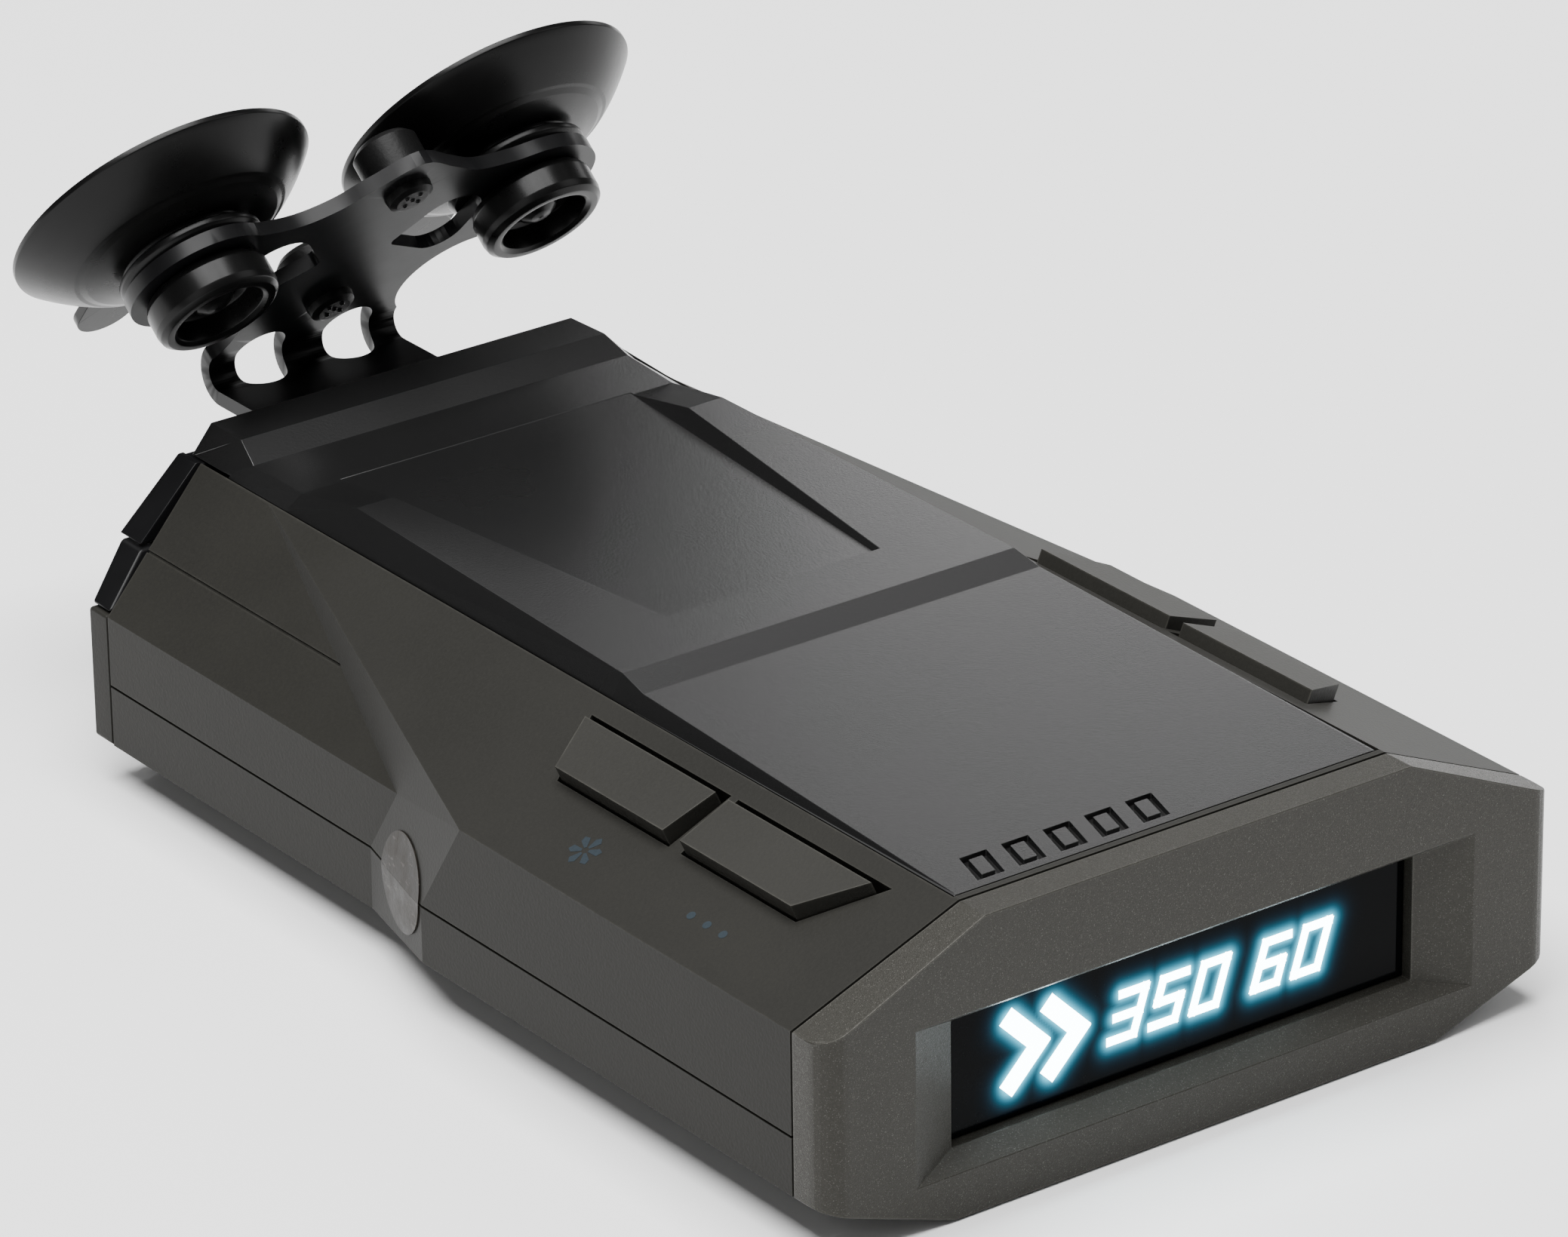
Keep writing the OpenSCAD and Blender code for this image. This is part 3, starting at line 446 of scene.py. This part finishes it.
def display_glow(bars):
    """A fine sheet just behind the figures whose brightness falls off away from them."""
    low = (-GLOW_HALF_W, WINDOW_LOW.z / MM + GLOW_INSET)
    high = (GLOW_HALF_W, WINDOW_HIGH.z / MM - GLOW_INSET)
    nx = int((high[0] - low[0]) / GLOW_STEP)
    nz = int((high[1] - low[1]) / GLOW_STEP)
    verts, glow = [], []
    for k in range(nz + 1):
        for i in range(nx + 1):
            p = (low[0] + (high[0] - low[0]) * i / nx, low[1] + (high[1] - low[1]) * k / nz)
            d = min(distance_to(p, a, b) - half for a, b, half in bars)
            verts.append((p[0] * MM, GLASS_Y + GLOW_BEHIND * MM, p[1] * MM))
            edge = min(p[0] - low[0], high[0] - p[0], p[1] - low[1], high[1] - p[1])
            glow.append(math.exp(-max(0.0, d) / GLOW_FADE) * min(1.0, edge / GLOW_RIM))
    faces = []
    for k in range(nz):
        for i in range(nx):
            a = k * (nx + 1) + i
            faces.append((a, a + 1, a + nx + 2, a + nx + 1))
    t = Tree("glow_sheet", (0.0012, 0.0013, 0.0015), 0.1, specular=0.03)
    level = t.add("ShaderNodeAttribute", attribute_name="glow").outputs["Fac"]
    shaped = t.math("POWER", level, GLOW_POWER)
    t.colour(t.blend(t.noise(900, 2), (0.0010, 0.0011, 0.0013), (0.0015, 0.0017, 0.002)))
    tint = t.blend(level, (0.005, 0.09, 0.20), (0.10, 0.62, 0.85))
    t.link(tint, t.shader.inputs["Emission Color"])
    t.link(t.math("MULTIPLY", shaped, GLOW_STRENGTH), t.shader.inputs["Emission Strength"])
    obj = new_mesh("display_glow", verts, faces, t.mat, "housing")
    attribute = obj.data.attributes.new("glow", "FLOAT", "POINT")
    attribute.data.foreach_set("value", glow)


all_bars = lit_bars()
display_figures(all_bars)
display_glow(all_bars)

# ---- print on the left chamfer

# The chamfer falls 7.3 mm over 16.1 mm, from a rim 22.4 mm off the middle at the shell's top
CHAMFER_RIM = Vector((22.4 * MM, 0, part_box("upper_shell")[1].z))
CHAMFER_ANGLE = math.atan2(7.3, 16.1)
FRONT_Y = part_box("front_bezel")[0].y
PRINT_LIFT = 0.02           # millimetres above the chamfer
DOT_U, DOT_Y, DOT_R = 13.4, (19.1, 21.3, 23.5), 0.42
PETAL_U, PETAL_Y, PETAL_TURN = 13.3, 38.6, 12
PETAL_REACH, PETAL_HALF = 1.75, 0.42


def chamfer_point(u, y):
    """u runs down the left slope from the rim and y back from the bezel face, in millimetres."""
    s, c = math.sin(CHAMFER_ANGLE), math.cos(CHAMFER_ANGLE)
    return Vector((-(CHAMFER_RIM.x + (u * c + PRINT_LIFT * s) * MM),
                   FRONT_Y + y * MM, CHAMFER_RIM.z + (-u * s + PRINT_LIFT * c) * MM))


def chamfer_decal(name, outlines, material):
    verts, faces = [], []
    for outline in outlines:
        start = len(verts)
        verts += [chamfer_point(u, y) for u, y in outline]
        faces.append(tuple(range(start, start + len(outline))))
    return new_mesh(name, verts, faces, material, "housing")


def disc(u, y, r, n=20):
    turns = [2 * math.pi * i / n for i in range(n)]
    return [(u + r * math.cos(a), y + r * math.sin(a)) for a in turns]


def petal(u, y, angle, reach, half):
    c, s = math.cos(angle), math.sin(angle)
    shape = [(0.35, -half * 0.3), (reach * 0.75, -half), (reach, -half * 0.2),
             (reach * 0.8, half), (0.35, half * 0.3)]
    return [(u + a * c - b * s, y + a * s + b * c) for a, b in shape]


print_ink = moulded("faint_print", (0.0150, 0.0210, 0.0260), 0.5, edge_wear_and_highlight=0.0, specular=0.1)
chamfer_decal("volume_dots", [disc(DOT_U, y, DOT_R) for y in DOT_Y], print_ink)
chamfer_decal("brightness_mark",
              [petal(PETAL_U, PETAL_Y, math.radians(60 * k + PETAL_TURN), PETAL_REACH, PETAL_HALF)
               for k in range(6)], print_ink)

# ---- studs on the bumpers' heads, in millimetres and degrees

PLATE_TILT = 50.5           # lean of the bracket plate, which the bumpers sit square to
STUD_R = 0.3
STUD_RING = 0.95            # from the middle stud to the four others
STUD_TURNS = (0.6, 2.17, 3.74, 5.31)  # radians
STUD_SINK = 0.12            # how far a stud's middle lies inside the head


def bumper_studs(node):
    """One stud in the middle of a bumper's head and four around it, towards the driver."""
    low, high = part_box(node)
    tilt = math.radians(PLATE_TILT)
    facing = Vector((0, -math.sin(tilt), -math.cos(tilt)))
    across = Vector((1, 0, 0))
    upward = across.cross(facing)
    middle = (Vector(low) + Vector(high)) / 2
    bumper = NODES[node]
    reach = max((bumper.matrix_world @ v.co - middle).dot(facing) for v in bumper.data.vertices)
    head = middle + facing * (reach - STUD_SINK * MM)
    bm = bmesh.new()
    spots = [(0.0, 0.0)] + [(STUD_RING * math.cos(a), STUD_RING * math.sin(a)) for a in STUD_TURNS]
    for a, b in spots:
        made = bmesh.ops.create_icosphere(bm, subdivisions=2, radius=STUD_R * MM)
        bmesh.ops.translate(bm, verts=made["verts"], vec=head + (across * a + upward * b) * MM)
    mesh = bpy.data.meshes.new(node + "_studs")
    bm.to_mesh(mesh)
    bm.free()
    obj = bpy.data.objects.new(node + "_studs", mesh)
    bpy.context.scene.collection.objects.link(obj)
    mesh.materials.append(MATERIALS["cup"])
    for polygon in mesh.polygons:
        polygon.use_smooth = True
    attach(obj, "bracket")


for name in ("upper_bumper", "lower_bumper"):
    bumper_studs(name)


# ------------------------------------------------------------------ stage, light and camera

FLOOR_HALF = 6.0            # metres
FLOOR_DROP = 0.2            # millimetres below the object
WORLD_LIGHT = 0.045


def stage():
    t = Tree("studio_floor", (0.86, 0.86, 0.86), 0.75)
    t.colour(t.blend(t.noise(3, 2), (0.85, 0.85, 0.85), (0.87, 0.87, 0.87)))
    mesh = bpy.data.meshes.new("studio_floor")
    corners = [(-FLOOR_HALF, -FLOOR_HALF, 0), (FLOOR_HALF, -FLOOR_HALF, 0),
               (FLOOR_HALF, FLOOR_HALF, 0), (-FLOOR_HALF, FLOOR_HALF, 0)]
    mesh.from_pydata(corners, [], [(0, 1, 2, 3)])
    mesh.materials.append(t.mat)
    floor = bpy.data.objects.new("studio_floor", mesh)
    floor.location.z = cad_box[0][2] - FLOOR_DROP * MM
    bpy.context.scene.collection.objects.link(floor)

    world = bpy.data.worlds.new("studio")
    bpy.context.scene.world = world
    world.use_nodes = True
    back = world.node_tree.nodes["Background"]
    back.inputs["Color"].default_value = (1.0, 1.0, 1.0, 1.0)
    back.inputs["Strength"].default_value = WORLD_LIGHT


def softbox(name, at, aim, size, power):
    """White rectangular lamp; places and sizes in metres, power in watts."""
    data = bpy.data.lights.new(name, "AREA")
    data.shape = "RECTANGLE"
    data.size, data.size_y = size
    data.energy = power
    light = bpy.data.objects.new(name, data)
    light.location = at
    light.rotation_euler = (Vector(aim) - Vector(at)).to_track_quat("-Z", "Y").to_euler()
    bpy.context.scene.collection.objects.link(light)


VIEW_AZIMUTH, VIEW_ELEVATION, VIEW_ROLL = 36.2, 24.63, -0.8  # degrees
VIEW_FROM = (-0.4012, -0.5478, 0.3374)
VIEW_LENS = 198.26          # millimetres, on a sensor 36 mm wide


def camera():
    """Long lens from the front left and above, where the photograph was taken from."""
    azimuth, elevation, roll = (math.radians(a) for a in (VIEW_AZIMUTH, VIEW_ELEVATION, VIEW_ROLL))
    data = bpy.data.cameras.new("photo_view")
    data.sensor_width = 36.0
    data.lens = VIEW_LENS
    data.clip_start = 0.05
    data.clip_end = 20.0
    cam = bpy.data.objects.new("photo_view", data)
    look = Vector((math.sin(azimuth) * math.cos(elevation),
                   math.cos(azimuth) * math.cos(elevation), -math.sin(elevation)))
    right = Vector((math.cos(azimuth), -math.sin(azimuth), 0))
    up = right.cross(look)
    turned_right = right * math.cos(roll) + up * math.sin(roll)
    turned_up = up * math.cos(roll) - right * math.sin(roll)
    rotation = Matrix((turned_right, turned_up, -look)).transposed().to_4x4()
    cam.matrix_world = Matrix.Translation(VIEW_FROM) @ rotation
    bpy.context.scene.collection.objects.link(cam)
    bpy.context.scene.camera = cam


stage()
softbox("overhead", (-0.22, 0.0, 1.3), (-0.08, 0, 0), (1.1, 1.2), 60)
softbox("behind_right", (0.396, 0.232, 0.174), (0.153, -0.0965, -0.015), (0.37, 0.095), 0.34)
softbox("behind", (0.24, 0.587, 0.55), (0, 0, 0.02), (0.72, 0.35), 0.7)
softbox("front_right", (0.9, -0.6, 0.8), (0, 0, 0.02), (0.7, 0.7), 3)
softbox("front_left", (-1.1, -0.6, 0.6), (0, 0, 0.02), (0.8, 0.8), 3)
camera()
